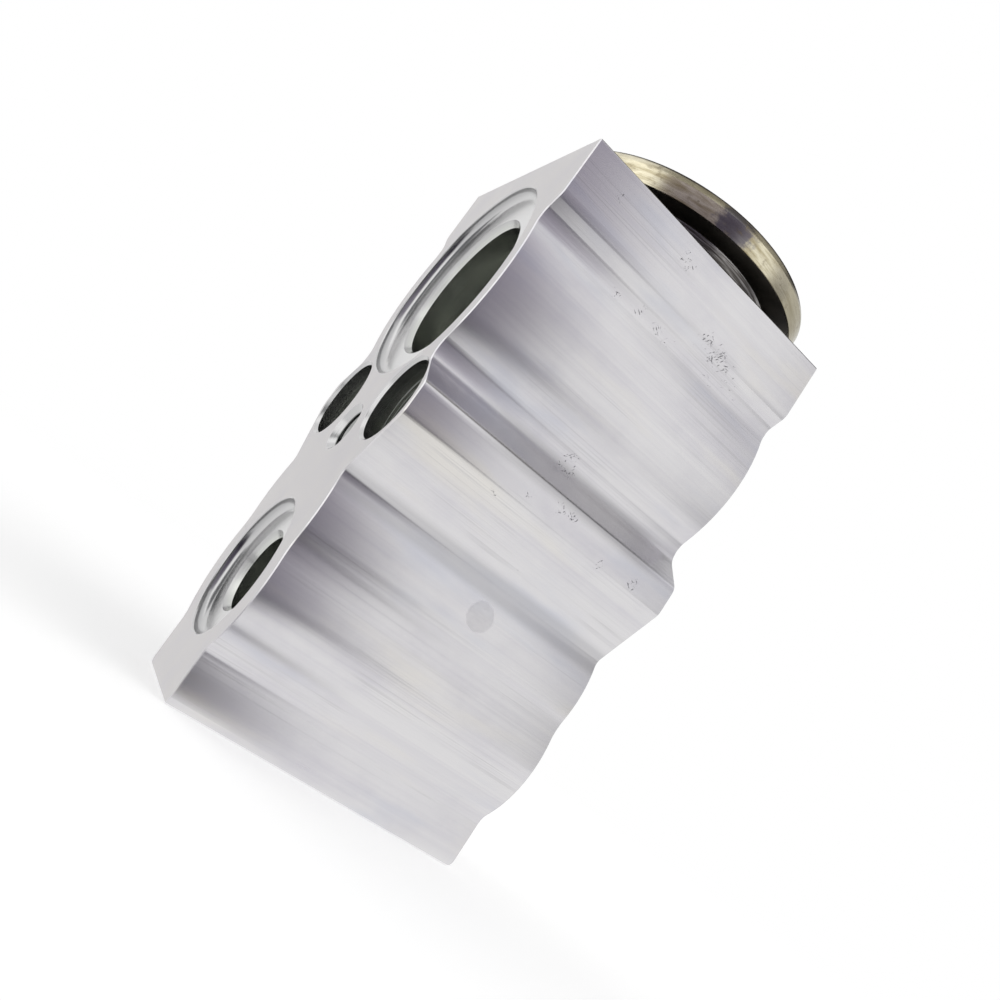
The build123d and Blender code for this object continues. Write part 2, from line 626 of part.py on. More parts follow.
# Top cover: a shallow dome whose full, rounded rim turns down over the lower cover's edge
SKIRT_BASE = COLLAR_TOP - SKIRT_DROP
SKIRT_INNER_R = COVER_R - SKIRT_THICKNESS
RIM_MIDDLE = RIM_PLANE + RIM_FULL
RIM_TOP = RIM_PLANE + RIM_SHOULDER
dome = [
    (COVER_R - DOME_SHOULDER_INSET, RIM_TOP + DOME_SHOULDER_RISE),
    (DOME_FLAT_R + DOME_BREAK, DOME_TOP - DOME_BREAK_DROP),
    (DOME_FLAT_R, DOME_TOP),
    (CHARGE_HOLE_R, DOME_TOP),
]
dome_inside = [(radius, height - DOME_THICKNESS) for radius, height in reversed(dome)]
with BuildPart() as head_top_cover:
    with BuildSketch(Plane.XZ):
        with BuildLine():
            skirt = ThreePointArc(
                (COVER_R - RIM_TUCK, SKIRT_BASE),
                (COVER_R - RIM_TUCK / 4, (SKIRT_BASE + RIM_MIDDLE) / 2),
                (COVER_R, RIM_MIDDLE),
            )
            rim = ThreePointArc(
                skirt @ 1,
                (COVER_R - RIM_ROUND, (RIM_MIDDLE + RIM_TOP) / 2),
                (COVER_R - RIM_INSET, RIM_TOP),
            )
            Polyline(
                rim @ 1,
                *dome,
                *dome_inside,
                (SKIRT_INNER_R - CLAMP_WIDTH, CLAMP_PLANE),
                (SKIRT_INNER_R, CLAMP_PLANE),
                (SKIRT_INNER_R, SKIRT_BASE),
                skirt @ 0,
            )
        make_face()
    revolve(axis=Axis.Z)
write(head_top_cover.part, "head_top_cover")

# Charge plug, pressed and welded into the dome once the head is filled
with BuildPart() as charge_plug:
    turned([
        (0, DOME_TOP - DOME_THICKNESS),
        (CHARGE_HOLE_R - PRESS_GAP, DOME_TOP - DOME_THICKNESS),
        (CHARGE_HOLE_R - PRESS_GAP, DOME_TOP + CONTACT_GAP),
        (PLUG_HEAD_R, DOME_TOP + CONTACT_GAP),
        (PLUG_HEAD_R, DOME_TOP + PLUG_HEAD_HEIGHT - PLUG_EDGE),
        (PLUG_HEAD_R - PLUG_EDGE, DOME_TOP + PLUG_HEAD_HEIGHT),
        (0, DOME_TOP + PLUG_HEAD_HEIGHT),
    ])
write(charge_plug.part, "charge_plug")
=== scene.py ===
"""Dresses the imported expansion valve: its finishes, the tapped hole's thread, the spring's coils, the studio
round it and the camera."""

import logging
import math
from abc import ABC, abstractmethod
from dataclasses import dataclass
from enum import Enum
from functools import reduce
from operator import add
from typing import Iterable, Mapping, Sequence

import bpy
from mathutils import Matrix, Vector

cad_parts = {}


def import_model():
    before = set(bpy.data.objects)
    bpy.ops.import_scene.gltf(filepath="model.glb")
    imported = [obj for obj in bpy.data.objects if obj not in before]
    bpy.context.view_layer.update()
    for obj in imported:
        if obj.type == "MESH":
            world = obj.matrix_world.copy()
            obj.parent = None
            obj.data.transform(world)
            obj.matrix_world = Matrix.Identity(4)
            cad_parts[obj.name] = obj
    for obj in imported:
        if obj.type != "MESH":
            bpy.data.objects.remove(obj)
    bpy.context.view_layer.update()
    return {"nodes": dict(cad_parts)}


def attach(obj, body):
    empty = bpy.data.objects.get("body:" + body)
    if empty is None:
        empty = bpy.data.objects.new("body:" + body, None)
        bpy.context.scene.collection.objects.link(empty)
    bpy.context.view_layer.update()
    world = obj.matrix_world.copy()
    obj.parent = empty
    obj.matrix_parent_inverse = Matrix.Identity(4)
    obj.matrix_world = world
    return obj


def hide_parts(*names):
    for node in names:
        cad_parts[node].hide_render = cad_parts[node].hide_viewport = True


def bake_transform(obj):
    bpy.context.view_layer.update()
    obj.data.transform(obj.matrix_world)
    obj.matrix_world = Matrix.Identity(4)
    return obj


log = logging.getLogger("expansion_valve")

Socket = bpy.types.NodeSocket
Piece = bpy.types.Object
Triple = tuple[float, float, float]
Colour = Triple
MM = 0.001
WHITE: Colour = (1.0, 1.0, 1.0)


class Body(Enum):
    """The moving bodies that a piece can ride on."""

    BLOCK = "valve_body"
    STEM = "stem"
    SCREW = "adjuster_screw"
    SCREW_RING = "adjuster_ring"


class Axis(Enum):
    """The axis that a turned piece was spun about."""

    ACROSS = "x"
    THROUGH = "y"
    STEM = "z"


class Wire:
    """A socket's number. Python's operators on it add Math nodes."""

    def __init__(self, bench: "Bench", socket: Socket) -> None:
        """Holds the socket and the bench that its nodes are on."""
        self.bench = bench
        self.socket = socket

    def _with(self, operation: str, *terms: "Wire | float") -> "Wire":
        """Adds one Math node on these terms, in the order of its sockets."""
        node = self.bench.add("ShaderNodeMath", {"operation": operation}, dict(enumerate(terms)))
        return Wire(self.bench, node.outputs[0])

    def __add__(self, other: "Wire | float") -> "Wire":
        """self + other."""
        return self._with("ADD", self, other)

    def __radd__(self, other: float) -> "Wire":
        """other + self."""
        return self._with("ADD", other, self)

    def __sub__(self, other: "Wire | float") -> "Wire":
        """self - other."""
        return self._with("SUBTRACT", self, other)

    def __rsub__(self, other: float) -> "Wire":
        """other - self."""
        return self._with("SUBTRACT", other, self)

    def __mul__(self, other: "Wire | float") -> "Wire":
        """self * other."""
        return self._with("MULTIPLY", self, other)

    def __rmul__(self, other: float) -> "Wire":
        """other * self."""
        return self._with("MULTIPLY", other, self)

    def __truediv__(self, other: "Wire | float") -> "Wire":
        """self / other."""
        return self._with("DIVIDE", self, other)

    def __pow__(self, other: "Wire | float") -> "Wire":
        """self ** other."""
        return self._with("POWER", self, other)

    def __abs__(self) -> "Wire":
        """The distance from nought."""
        return self._with("ABSOLUTE", self)

    def larger(self, other: "Wire | float") -> "Wire":
        """The larger of the two."""
        return self._with("MAXIMUM", self, other)

    def smaller(self, other: "Wire | float") -> "Wire":
        """The smaller of the two."""
        return self._with("MINIMUM", self, other)

    def sine(self) -> "Wire":
        """The sine of this many radians."""
        return self._with("SINE", self)

    def rise(self, low: float, high: float) -> "Wire":
        """A smooth step.

        Args:
            low: where it leaves 0.
            high: where it reaches 1. It may be below low, for a fall.

        Returns:
            A number from 0 to 1.
        """
        node = self.bench.add(
            "ShaderNodeMapRange",
            {"interpolation_type": "SMOOTHSTEP"},
            {"Value": self, "From Min": low, "From Max": high},
        )
        return Wire(self.bench, node.outputs["Result"])


Parts = tuple[Wire, Wire, Wire]


def distance(*offsets: Wire) -> Wire:
    """How long a vector with these parts is."""
    return reduce(add, (offset ** 2.0 for offset in offsets)) ** 0.5


def largest(masks: Iterable[Wire]) -> Wire:
    """The largest of the masks at each point."""
    return reduce(Wire.larger, masks)


class Bench:
    """A node tree, and the one method that adds every node to it except the maths."""

    def __init__(self, tree: bpy.types.NodeTree) -> None:
        """Empties the tree."""
        self.tree = tree
        tree.nodes.clear()

    def add(
        self,
        kind: str,
        settings: Mapping[str, object] | None = None,
        sockets: Mapping[int | str, object] | None = None,
    ) -> bpy.types.Node:
        """Adds a node.

        Args:
            kind: the node's type.
            settings: its properties, set before its sockets; "stops" are a ramp's places and colours.
            sockets: a value, wire or output for each input, by name or place.

        Returns:
            The node.
        """
        node = self.tree.nodes.new(kind)
        for name, setting in (settings or {}).items():
            if name == "stops":
                self._set_stops(node.color_ramp, setting)
            else:
                setattr(node, name, setting)
        for key, value in (sockets or {}).items():
            self._plug(node.inputs[key], value)
        return node

    @staticmethod
    def _set_stops(ramp: bpy.types.ColorRamp, stops: Sequence[tuple[float, Colour]]) -> None:
        """Gives a ramp its stops.

        Args:
            ramp: the new ramp, which has two stops.
            stops: at least two places, rising, each with its colour.
        """
        for _ in stops[2:]:
            ramp.elements.new(1.0)
        for element, (place, colour) in zip(ramp.elements, stops):
            element.position = place
            element.color = (*colour, 1.0)

    def _plug(self, socket: Socket, value: object) -> None:
        """Sets or links one input.

        Args:
            socket: the input.
            value: a wire, an output, a number, or three numbers.
        """
        if isinstance(value, Wire):
            value = value.socket
        if isinstance(value, Socket):
            self.tree.links.new(value, socket)
        elif isinstance(value, tuple) and socket.type == "RGBA":
            socket.default_value = (*value, 1.0)
        else:
            socket.default_value = value

    def split(self, vector: Socket) -> Parts:
        """The vector's three parts."""
        outputs = self.add("ShaderNodeSeparateXYZ", None, {0: vector}).outputs
        return Wire(self, outputs[0]), Wire(self, outputs[1]), Wire(self, outputs[2])

    def join(self, *parts: Wire | float) -> Socket:
        """The vector with these three parts."""
        return self.add("ShaderNodeCombineXYZ", None, dict(enumerate(parts))).outputs[0]

    def local(self) -> Socket:
        """Where the point is on the object, in metres."""
        return self.add("ShaderNodeTexCoord").outputs["Object"]

    def place(self) -> Socket:
        """Where the point is on the object, in millimetres."""
        return self.stretch(self.local(), (1 / MM, 1 / MM, 1 / MM))

    def facing(self) -> Socket:
        """The way that the surface faces, in the object's own frame."""
        return self.add("ShaderNodeTexCoord").outputs["Normal"]

    def rays(self) -> tuple[Wire, Wire]:
        """Where the ray that meets the point comes from.

        Returns:
            Whether the camera sees the point, and whether metal or glass shows it, each as 0 or 1.
        """
        outputs = self.add("ShaderNodeLightPath").outputs
        shown = Wire(self, outputs["Is Glossy Ray"]).larger(Wire(self, outputs["Is Transmission Ray"]))
        return Wire(self, outputs["Is Camera Ray"]), shown

    def stretch(self, vector: Socket, by: Triple) -> Socket:
        """The vector with each part multiplied."""
        return self.add("ShaderNodeVectorMath", {"operation": "MULTIPLY"}, {0: vector, 1: by}).outputs[0]

    def turn(self, vector: Socket, by: Triple) -> Socket:
        """The vector turned about X, Y and Z by these angles, in degrees."""
        sockets = {"Vector": vector, "Rotation": tuple(math.radians(angle) for angle in by)}
        return self.add("ShaderNodeVectorRotate", {"rotation_type": "EULER_XYZ"}, sockets).outputs[0]

    def noise(self, vector: Socket, by: Triple, detail: float, rough: float) -> Wire:
        """Cloudy noise from 0 to 1.

        Args:
            vector: where it is read.
            by: about how many clouds there are to a unit, along each part of the vector.
            detail: how many finer layers it has.
            rough: how strong these are.

        Returns:
            The noise.
        """
        node = self.add(
            "ShaderNodeTexNoise",
            {"noise_dimensions": "3D"},
            {"Vector": self.stretch(vector, by), "Scale": 1.0, "Detail": detail, "Roughness": rough},
        )
        return Wire(self, node.outputs[0])

    def cells(self, vector: Socket, by: Triple) -> tuple[Wire, Wire]:
        """Scattered points.

        Args:
            vector: where they are read.
            by: how many there are to a unit, along each part of the vector.

        Returns:
            The distance to the nearest, and a number from 0 to 1 of its own.
        """
        sockets = {"Vector": self.stretch(vector, by), "Scale": 1.0}
        node = self.add("ShaderNodeTexVoronoi", {"feature": "F1"}, sockets)
        shade = self.add("ShaderNodeSeparateColor", None, {0: node.outputs["Color"]})
        return Wire(self, node.outputs["Distance"]), Wire(self, shade.outputs[0])

    def blend(self, share: Wire | float, start: object, end: object) -> Socket:
        """The colour between two, by how much of end there is, from 0 to 1."""
        node = self.add("ShaderNodeMix", {"data_type": "RGBA"}, {0: share, 6: start, 7: end})
        return node.outputs[2]

    def layers(self, base: object, *coats: tuple[Wire | float, object]) -> object:
        """Lays colours over one another.

        Args:
            base: the lowest colour.
            coats: the share and the colour of each that lies over it, from the lowest up.

        Returns:
            The colour that shows.
        """
        for share, colour in coats:
            base = self.blend(share, base, colour)
        return base

    def ramp(self, share: Wire, stops: Sequence[tuple[float, Colour]]) -> Socket:
        """The colour at a place on a ramp."""
        return self.add("ShaderNodeValToRGB", {"stops": stops}, {0: share}).outputs[0]

    def relief(
        self, height: Wire, depth: float, strength: float = 1.0, under: Socket | None = None
    ) -> Socket:
        """Bends the light as if the surface had this relief.

        Args:
            height: from 0 to 1.
            depth: what a height of 1 stands for, in millimetres.
            strength: how much of it shows.
            under: the normal that it is added to, if not the surface's own.

        Returns:
            The normal.
        """
        sockets = {"Strength": strength, "Distance": depth * MM, "Height": height}
        if under is not None:
            sockets["Normal"] = under
        return self.add("ShaderNodeBump", None, sockets).outputs[0]

    def surface(self, **sockets: object) -> Socket:
        """A surface shader with these inputs, spaces in their names written as underscores."""
        named = {name.replace("_", " "): value for name, value in sockets.items()}
        return self.add("ShaderNodeBsdfPrincipled", None, named).outputs[0]

    def light(self, colour: object, strength: float, kind: str = "ShaderNodeEmission") -> Socket:
        """A shader that gives out light."""
        return self.add(kind, None, {"Color": colour, "Strength": strength}).outputs[0]

    def pick(self, share: Wire | float, start: Socket, end: Socket) -> Socket:
        """The shader between two, by how much of end there is, from 0 to 1."""
        return self.add("ShaderNodeMixShader", None, {0: share, 1: start, 2: end}).outputs[0]

    def show(self, shader: Socket, kind: str = "ShaderNodeOutputMaterial") -> None:
        """Sends a shader to the output."""
        self.add(kind, None, {"Surface": shader})


@dataclass(frozen=True)
class Finish(ABC):
    """A finish, which makes its own material."""

    name: str

    @abstractmethod
    def paint(self, bench: Bench) -> Socket:
        """Adds the finish's nodes and returns its shader."""

    def material(self) -> bpy.types.Material:
        """Makes the material.

        Returns:
            The material, not yet on a piece.
        """
        made = bpy.data.materials.new(self.name)
        made.use_nodes = True
        bench = Bench(made.node_tree)
        bench.show(self.paint(bench))
        return made

    def coat(self, piece: Piece) -> None:
        """Puts the finish on every slot of a piece.

        Args:
            piece: a mesh, which gets a slot if it has none.
        """
        made = self.material()
        if not piece.material_slots:
            piece.data.materials.append(made)
        for slot in piece.material_slots:
            slot.material = made


@dataclass(frozen=True)
class Bore:
    """A round hole in the block, seen along its axis: where it is and how far its machining reaches.

    Sizes are in millimetres. A hole with an across has a twin on the left. One with a side is only in the
    front (-1) or the back (1).
    """

    reach: float
    height: float
    across: float = 0.0
    side: int = 0
    dished_from: float = 0.0
    blur: float = 0.06

    def radius(self, place: Parts) -> Wire:
        """How far a point is from the hole's axis."""
        x, _, z = place
        return distance((abs(x) if self.across else x) - self.across, z - self.height)

    def _sided(self, mask: Wire, place: Parts) -> Wire:
        """The mask kept to the hole's side of the block."""
        return mask if not self.side else mask * (place[1] * self.side).rise(-1.0, 1.0)

    def inside(self, place: Parts) -> Wire:
        """A mask that is 1 inside the hole's reach, on its side of the block."""
        return self._sided(self.radius(place).rise(self.reach + self.blur, self.reach - self.blur), place)

    def dish(self, place: Parts) -> Wire:
        """The height of the mouth's dished floor, from 0 at the lead-in to 1 at the wall."""
        share = (self.radius(place) - self.dished_from) / (self.reach - self.dished_from)
        return self._sided(share.larger(0.0).smaller(1.0) ** 2.0, place)


@dataclass(frozen=True)
class SidePatch:
    """A round patch on the block's right side, in millimetres."""

    depth: float
    height: float
    reach: float

    def away(self, place: Parts) -> Wire:
        """How far a point is from the patch's middle."""
        return distance(place[1] - self.depth, place[2] - self.height)

    def right(self, place: Parts) -> Wire:
        """1 on the block's right side."""
        return place[0].rise(0.0, 2.0)

    def mask(self, place: Parts) -> Wire:
        """How far inside the patch a point is, from 0 to 1."""
        return self.away(place).rise(self.reach * 1.25, 0.0) * self.right(place)


@dataclass(frozen=True)
class ShadeStrip:
    """A strip of painted shade along the block's sides, in millimetres."""

    height: float
    half: float
    front: float
    back: float
    share: float
    edge_fade: float = 0.5
    front_fade: float = 5.0
    back_fade: float = 3.0

    def mask(self, place: Parts) -> Wire:
        """How much painted shade a point gets.

        Args:
            place: the point's x, y and z.

        Returns:
            A mask from 0 to the strip's share.
        """
        _, y, z = place
        across = abs(z - self.height).rise(self.half + self.edge_fade, self.half - self.edge_fade)
        front = y.rise(self.front - self.front_fade, self.front + self.front_fade)
        back = y.rise(self.back + self.back_fade, self.back - self.back_fade)
        return across * front * back * self.share


@dataclass(frozen=True)
class ExtrudedBlock(Finish):
    """Bare extruded aluminium: die lines along the block, milled ends, turned bores, handling marks.

    Sizes are in millimetres. The block's two ends lie half_depth before and behind its middle, which is that
    far in front of the stem's axis. The cutter that milled them left its arcs round cutter_x and cutter_z.
    """

    bores: tuple[Bore, ...]
    threaded: Bore
    scored: Bore
    handled: tuple[SidePatch, ...]
    streaks: tuple[ShadeStrip, ...]
    spot: SidePatch = SidePatch(0.6, 24.9, 1.75)
    pale: Colour = (0.735, 0.725, 0.732)
    mauve: Colour = (0.610, 0.594, 0.640)
    cream: Colour = (0.760, 0.735, 0.690)
    cool: Colour = (0.590, 0.600, 0.665)
    milled: Colour = (0.640, 0.622, 0.622)
    cut: Colour = (0.640, 0.637, 0.640)
    # painted shade for the bore walls
    shaded: Colour = (0.250, 0.252, 0.255)
    oiled: Colour = (0.720, 0.740, 0.690)
    # painted shade for the strips along the sides
    strip_shade: Colour = (0.400, 0.395, 0.400)
    gleam: Colour = (0.960, 0.960, 0.950)
    # painted shade for the tapped hole
    tapped: Colour = (0.180, 0.185, 0.180)
    bright: Colour = (0.790, 0.785, 0.785)
    dull: Colour = (0.520, 0.515, 0.525)
    nick: Colour = (0.110, 0.108, 0.120)
    middle: float = 2.0
    half_depth: float = 19.0
    dish_depth: float = 1.5
    cutter_x: float = 31.0
    cutter_z: float = 24.0
    arc_rate: float = 9.0
    dashes: tuple[Triple, ...] = (
        (-54.0, 0.36, 4.2),
        (-20.0, 0.80, 4.4),
        (34.0, 0.50, 4.2),
        (-70.0, 1.30, 4.0),
    )

    def paint(self, bench: Bench) -> Socket:
        """Paints the sides and the machined surfaces, and chooses by place and by the way that they face.

        Args:
            bench: where the nodes go.

        Returns:
            The shader.
        """
        place = bench.place()
        parts = bench.split(place)
        facing = bench.split(bench.facing())
        end = abs(facing[1]).rise(0.80, 0.96) * self._past_end(parts).rise(-0.9, -0.5)
        bored = largest(bore.inside(parts) for bore in self.bores)
        hollow = largest(bore.dish(parts) for bore in self.bores if bore.dished_from)
        sides = self._sides(bench, place, parts)
        ends = self._ends(bench, place, parts)
        turned = self._turned(bench, place, parts, 1.0 - abs(facing[1]), hollow)
        return bench.pick(end, bench.pick(bored, sides, turned), ends)

    def _past_end(self, parts: Parts) -> Wire:
        """How far a point is outside the nearer of the block's two ends, below 0 inside it."""
        return abs(parts[1] + self.middle) - self.half_depth

    def _sides(self, bench: Bench, place: Socket, parts: Parts) -> Socket:
        """The extruded surfaces.

        Args:
            bench: where the nodes go.
            place: the point, in millimetres.
            parts: its x, y and z.

        Returns:
            The shader.
        """
        band = bench.noise(place, (0.42, 0.004, 0.42), 3.0, 0.62)
        line = bench.noise(place, (3.0, 0.012, 3.0), 3.0, 0.7)
        hair = bench.noise(place, (12.0, 0.04, 12.0), 2.0, 0.6)
        drag = bench.noise(place, (0.62, 0.003, 0.62), 3.0, 0.7)
        wear_and_glint = bench.noise(place, (0.20, 0.05, 0.20), 3.0, 0.6)
        bloom = bench.noise(place, (0.14, 0.09, 0.14), 4.0, 0.6)
        grain = bench.noise(place, (8.0, 2.5, 8.0), 2.0, 0.6)
        scored = abs(drag - 0.5).rise(0.020, 0.004) * wear_and_glint.rise(0.44, 0.66)
        marks, pits = self._marks(bench, place, parts)
        spot = self._dull_spot(bench, place, parts)
        shade = band.rise(0.35, 0.72) * 0.40 + line.rise(0.42, 0.75) * 0.24 + bloom.rise(0.4, 0.75) * 0.42
        tint = bench.noise(place, (0.06, 0.035, 0.16), 3.0, 0.55)
        colour = bench.layers(
            self.pale,
            (shade.smaller(1.0), self.mauve),
            (tint.rise(0.54, 0.72) * 0.75, self.cream),
            (tint.rise(0.46, 0.28) * 0.75, self.cool),
            (hair.rise(0.55, 0.80) * 0.22, self.bright),
            # painted shade: darker strips along the sides
            *((streak.mask(parts), self.strip_shade) for streak in self.streaks),
            (scored * 0.42, self.dull),
            (spot * 0.14, self.dull),
            (marks * 0.80, self.nick),
            (pits * 0.85, self.nick),
        )
        rough = 0.155 + band * 0.06 + bloom * 0.12 + spot * 0.10 + marks * 0.2
        height = line * 0.30 + hair * 0.30 + grain * 0.06 - scored * 0.35 - marks * 0.9 - pits
        return bench.surface(
            Base_Color=colour,
            Metallic=1.0,
            Roughness=rough,
            Anisotropic=0.45,
            Normal=bench.relief(height, 0.010, 0.40),
        )

    def _dull_spot(self, bench: Bench, place: Socket, parts: Parts) -> Wire:
        """A plain round dull spot with a ragged edge.

        Args:
            bench: where the nodes go.
            place: the point, in millimetres.
            parts: its x, y and z.

        Returns:
            A mask of the spot.
        """
        reach = self.spot.reach
        ragged = bench.noise(place, (1.6, 1.6, 1.6), 3.0, 0.6)
        mottled = bench.noise(place, (2.6, 1.2, 2.6), 3.0, 0.6)
        away = self.spot.away(parts) + ragged * 0.5
        return away.rise(reach + 0.28, reach + 0.12) * self.spot.right(parts) * (0.15 + mottled * 1.5)

    def _marks(self, bench: Bench, place: Socket, parts: Parts) -> tuple[Wire, Wire]:
        """Ragged scratches where the block was handled, a few loose ones, and small pits.

        Each kind of dash has a tilt in degrees and so many to a millimetre, along and across.

        Args:
            bench: where the nodes go.
            place: the point, in millimetres.
            parts: its x, y and z.

        Returns:
            A mask of the scratches, and one of the pits.
        """
        dense = largest(patch.mask(parts) for patch in self.handled)
        broken = bench.noise(place, (4.2, 3.6, 4.2), 2.0, 0.6)
        coarse = bench.noise(place, (0.9, 0.8, 0.9), 2.0, 0.6)
        crowd = dense * (0.45 + coarse * 0.9)
        strokes: list[Wire] = []
        for tilt, along, across in self.dashes:
            away, own = bench.cells(bench.turn(place, (tilt, 0.0, 0.0)), (0.15, along, across))
            strokes.append(away.rise(0.30, 0.16) * (own + crowd).rise(1.04, 1.10))
        crack = largest(strokes) * broken.rise(0.40, 0.54)
        rub = bench.noise(bench.turn(place, (24.0, 0.0, 0.0)), (1.0, 0.42, 2.8), 3.0, 0.65)
        scuffs = (rub - (0.775 - dense * 0.030)).rise(0.0, 0.035)
        far, own = bench.cells(place, (1.1, 0.8, 1.2))
        pits = (far + own * 0.10).rise(0.17, 0.10) * (own + dense * 0.06).rise(0.955, 0.975)
        return crack.larger(scuffs), pits

    def _ends(self, bench: Bench, place: Socket, parts: Parts) -> Socket:
        """The milled front and back, with the cutter's wide arcs.

        Args:
            bench: where the nodes go.
            place: the point, in millimetres.
            parts: its x, y and z.

        Returns:
            The shader.
        """
        reach = distance(parts[0] - self.cutter_x, parts[2] - self.cutter_z)
        arcs = (reach * self.arc_rate).sine() * 0.5 + 0.5
        uneven = bench.noise(place, (0.35, 0.35, 0.22), 4.0, 0.6)
        grain = bench.noise(place, (7.0, 7.0, 7.0), 3.0, 0.6)
        nicked, own = bench.cells(place, (0.30, 0.30, 0.30))
        nicks = nicked.rise(0.07, 0.03) * own.rise(0.80, 0.84)
        colour = bench.layers(
            self.milled,
            (uneven.rise(0.35, 0.75) * 0.35, self.mauve),
            (arcs * uneven.rise(0.4, 0.6) * 0.12, self.bright),
            (nicks * 0.6, self.nick),
        )
        height = arcs * 0.35 + grain * 0.35 - nicks
        return bench.surface(
            Base_Color=colour,
            Metallic=1.0,
            Roughness=0.30 + uneven * 0.14 + grain * 0.05,
            Normal=bench.relief(height, 0.006, 0.6),
        )

    def _turned(self, bench: Bench, place: Socket, parts: Parts, wall: Wire, hollow: Wire) -> Socket:
        """The bores: the tool's rings, painted shade on walls and tapped hole, painted highlight lines in
        pockets.

        Args:
            bench: where the nodes go.
            place: the point, in millimetres.
            parts: its x, y and z.
            wall: 1 where the surface runs along the bore, 0 where it lies across it.
            hollow: the height of the mouths' dished floors, from 0 to 1.

        Returns:
            The shader.
        """
        ring = bench.noise(place, (0.05, 2.6, 0.05), 4.0, 0.7)
        fine = bench.noise(place, (0.12, 12.0, 0.12), 2.0, 0.6)
        stain = bench.noise(place, (0.4, 0.4, 0.4), 3.0, 0.6)
        score = bench.noise(place, (0.03, 7.0, 0.03), 2.0, 0.6)
        deep = self._past_end(parts).rise(-1.0, -2.6)
        # painted highlight: near-white lines scored inside the fixing pockets, with less metal
        gleam = deep * score.rise(0.57, 0.66) * self.scored.inside(parts)
        colour = bench.layers(
            self.cut,
            (ring.rise(0.45, 0.70) * 0.45, self.milled),
            (stain.rise(0.50, 0.75) * 0.25, self.mauve),
            # painted shade: the bore walls darkened
            (wall * (0.50 + ring * 0.5), self.shaded),
            (deep * (0.60 + stain * 0.5), self.oiled),
            (gleam, self.gleam),
            # painted shade: the tapped hole's wall darkened
            (self.threaded.inside(parts), self.tapped),
        )
        return bench.surface(
            Base_Color=colour,
            Metallic=1.0 - gleam * 0.8,
            Roughness=0.12 + ring * 0.12 + stain * 0.06,
            Normal=bench.relief(ring * 0.6 + fine * 0.3, 0.020, 0.5, bench.relief(hollow, self.dish_depth)),
        )


@dataclass(frozen=True)
class YellowPassivate(Finish):
    """Zinc with a yellow passivate: straw to brown, with blue and violet where the film builds up, and a dark
    violet patch that is partly painted reflection.
    """

    straw: Colour = (0.790, 0.735, 0.560)
    gold: Colour = (0.400, 0.340, 0.205)
    umber: Colour = (0.190, 0.150, 0.095)
    violet: Colour = (0.105, 0.100, 0.150)
    # painted shade towards +Y
    olive_shade: Colour = (0.270, 0.245, 0.180)
    # centre of the violet patch, darkened as a painted reflection
    bloom: Triple = (18.6, -3.6, 74.9)
    bloom_reach: float = 3.2

    def paint(self, bench: Bench) -> Socket:
        """The film's colours in streaks round the rim, painted shade towards +Y, a violet patch that is partly
        painted reflection, and small dull spots.

        Args:
            bench: where the nodes go.

        Returns:
            The shader.
        """
        place = bench.place()
        x, y, z = bench.split(place)
        reach = distance(x, y)
        around = bench.join(x / reach, y / reach, z + reach * 0.8)
        cloud = bench.noise(around, (2.2, 2.2, 0.55), 4.0, 0.6)
        streak = bench.noise(around, (3.0, 3.0, 5.0), 3.0, 0.6)
        mottle = bench.noise(place, (0.9, 0.9, 1.3), 3.0, 0.6)
        grain = bench.noise(place, (6.0, 6.0, 6.0), 2.0, 0.6)
        away = distance(x - self.bloom[0], y - self.bloom[1], z - self.bloom[2])
        thick_film_and_reflection = (away + mottle * 5.0 - 2.5).rise(self.bloom_reach, self.bloom_reach * 0.45)
        other = cloud.rise(0.70, 0.80) * 0.3
        far, own = bench.cells(place, (0.7, 0.7, 0.9))
        spots = far.rise(0.14, 0.05) * own.rise(0.84, 0.88)
        colour = bench.layers(
            bench.ramp(cloud, [(0.34, self.gold), (0.50, self.straw), (0.66, self.gold)]),
            (streak.rise(0.48, 0.74) * 0.55, self.gold),
            # painted shade: darker and greener towards +Y
            (y.rise(1.0, 10.0) * 0.8, self.olive_shade),
            # violet film, darkened in one patch as a painted reflection
            (thick_film_and_reflection.larger(other) * 0.80, self.violet),
            (mottle.rise(0.55, 0.72) * 0.45, self.umber),
            (spots * 0.6, self.umber),
        )
        height = grain * 0.25 + streak * 0.5 + mottle * 0.2 - spots * 0.3
        return bench.surface(
            Base_Color=colour,
            Metallic=1.0,
            Roughness=0.15 + mottle * 0.10 + streak * 0.06 + spots * 0.2,
            Normal=bench.relief(height, 0.008, 0.3),
        )


@dataclass(frozen=True)
class TurnedMetal(Finish):
    """Metal turned on a lathe: rings from the tool, a little staining."""

    clean: Colour = (0.560, 0.550, 0.540)
    stained: Colour = (0.330, 0.315, 0.300)
    shine: float = 0.24
    pitch: float = 0.16
    axis: Axis = Axis.STEM

    def paint(self, bench: Bench) -> Socket:
        """Rings both along the axis and out from it, so that turned ends show them too.

        Args:
            bench: where the nodes go.

        Returns:
            The shader.
        """
        place = bench.place()
        x, y, z = bench.split(place)
        along, one, other = {Axis.ACROSS: (x, y, z), Axis.THROUGH: (y, x, z), Axis.STEM: (z, x, y)}[self.axis]
        spun = bench.join(along, distance(one, other), 0.0)
        rings = bench.noise(spun, (1 / self.pitch, 1 / self.pitch, 1.0), 2.0, 0.65)
        stain = bench.noise(place, (0.5, 0.5, 0.5), 4.0, 0.6)
        far, own = bench.cells(place, (0.9, 0.9, 0.9))
        nicks = far.rise(0.12, 0.05) * own.rise(0.86, 0.90)
        colour = bench.layers(
            self.clean,
            (stain.rise(0.42, 0.75) * 0.55, self.stained),
            (rings.rise(0.55, 0.80) * 0.30, self.stained),
            (nicks * 0.6, tuple(0.4 * part for part in self.stained)),
        )
        return bench.surface(
            Base_Color=colour,
            Metallic=1.0,
            Roughness=self.shine + rings * 0.12 + stain * 0.10,
            Normal=bench.relief(rings - nicks * 0.5, 0.010, 0.6),
        )


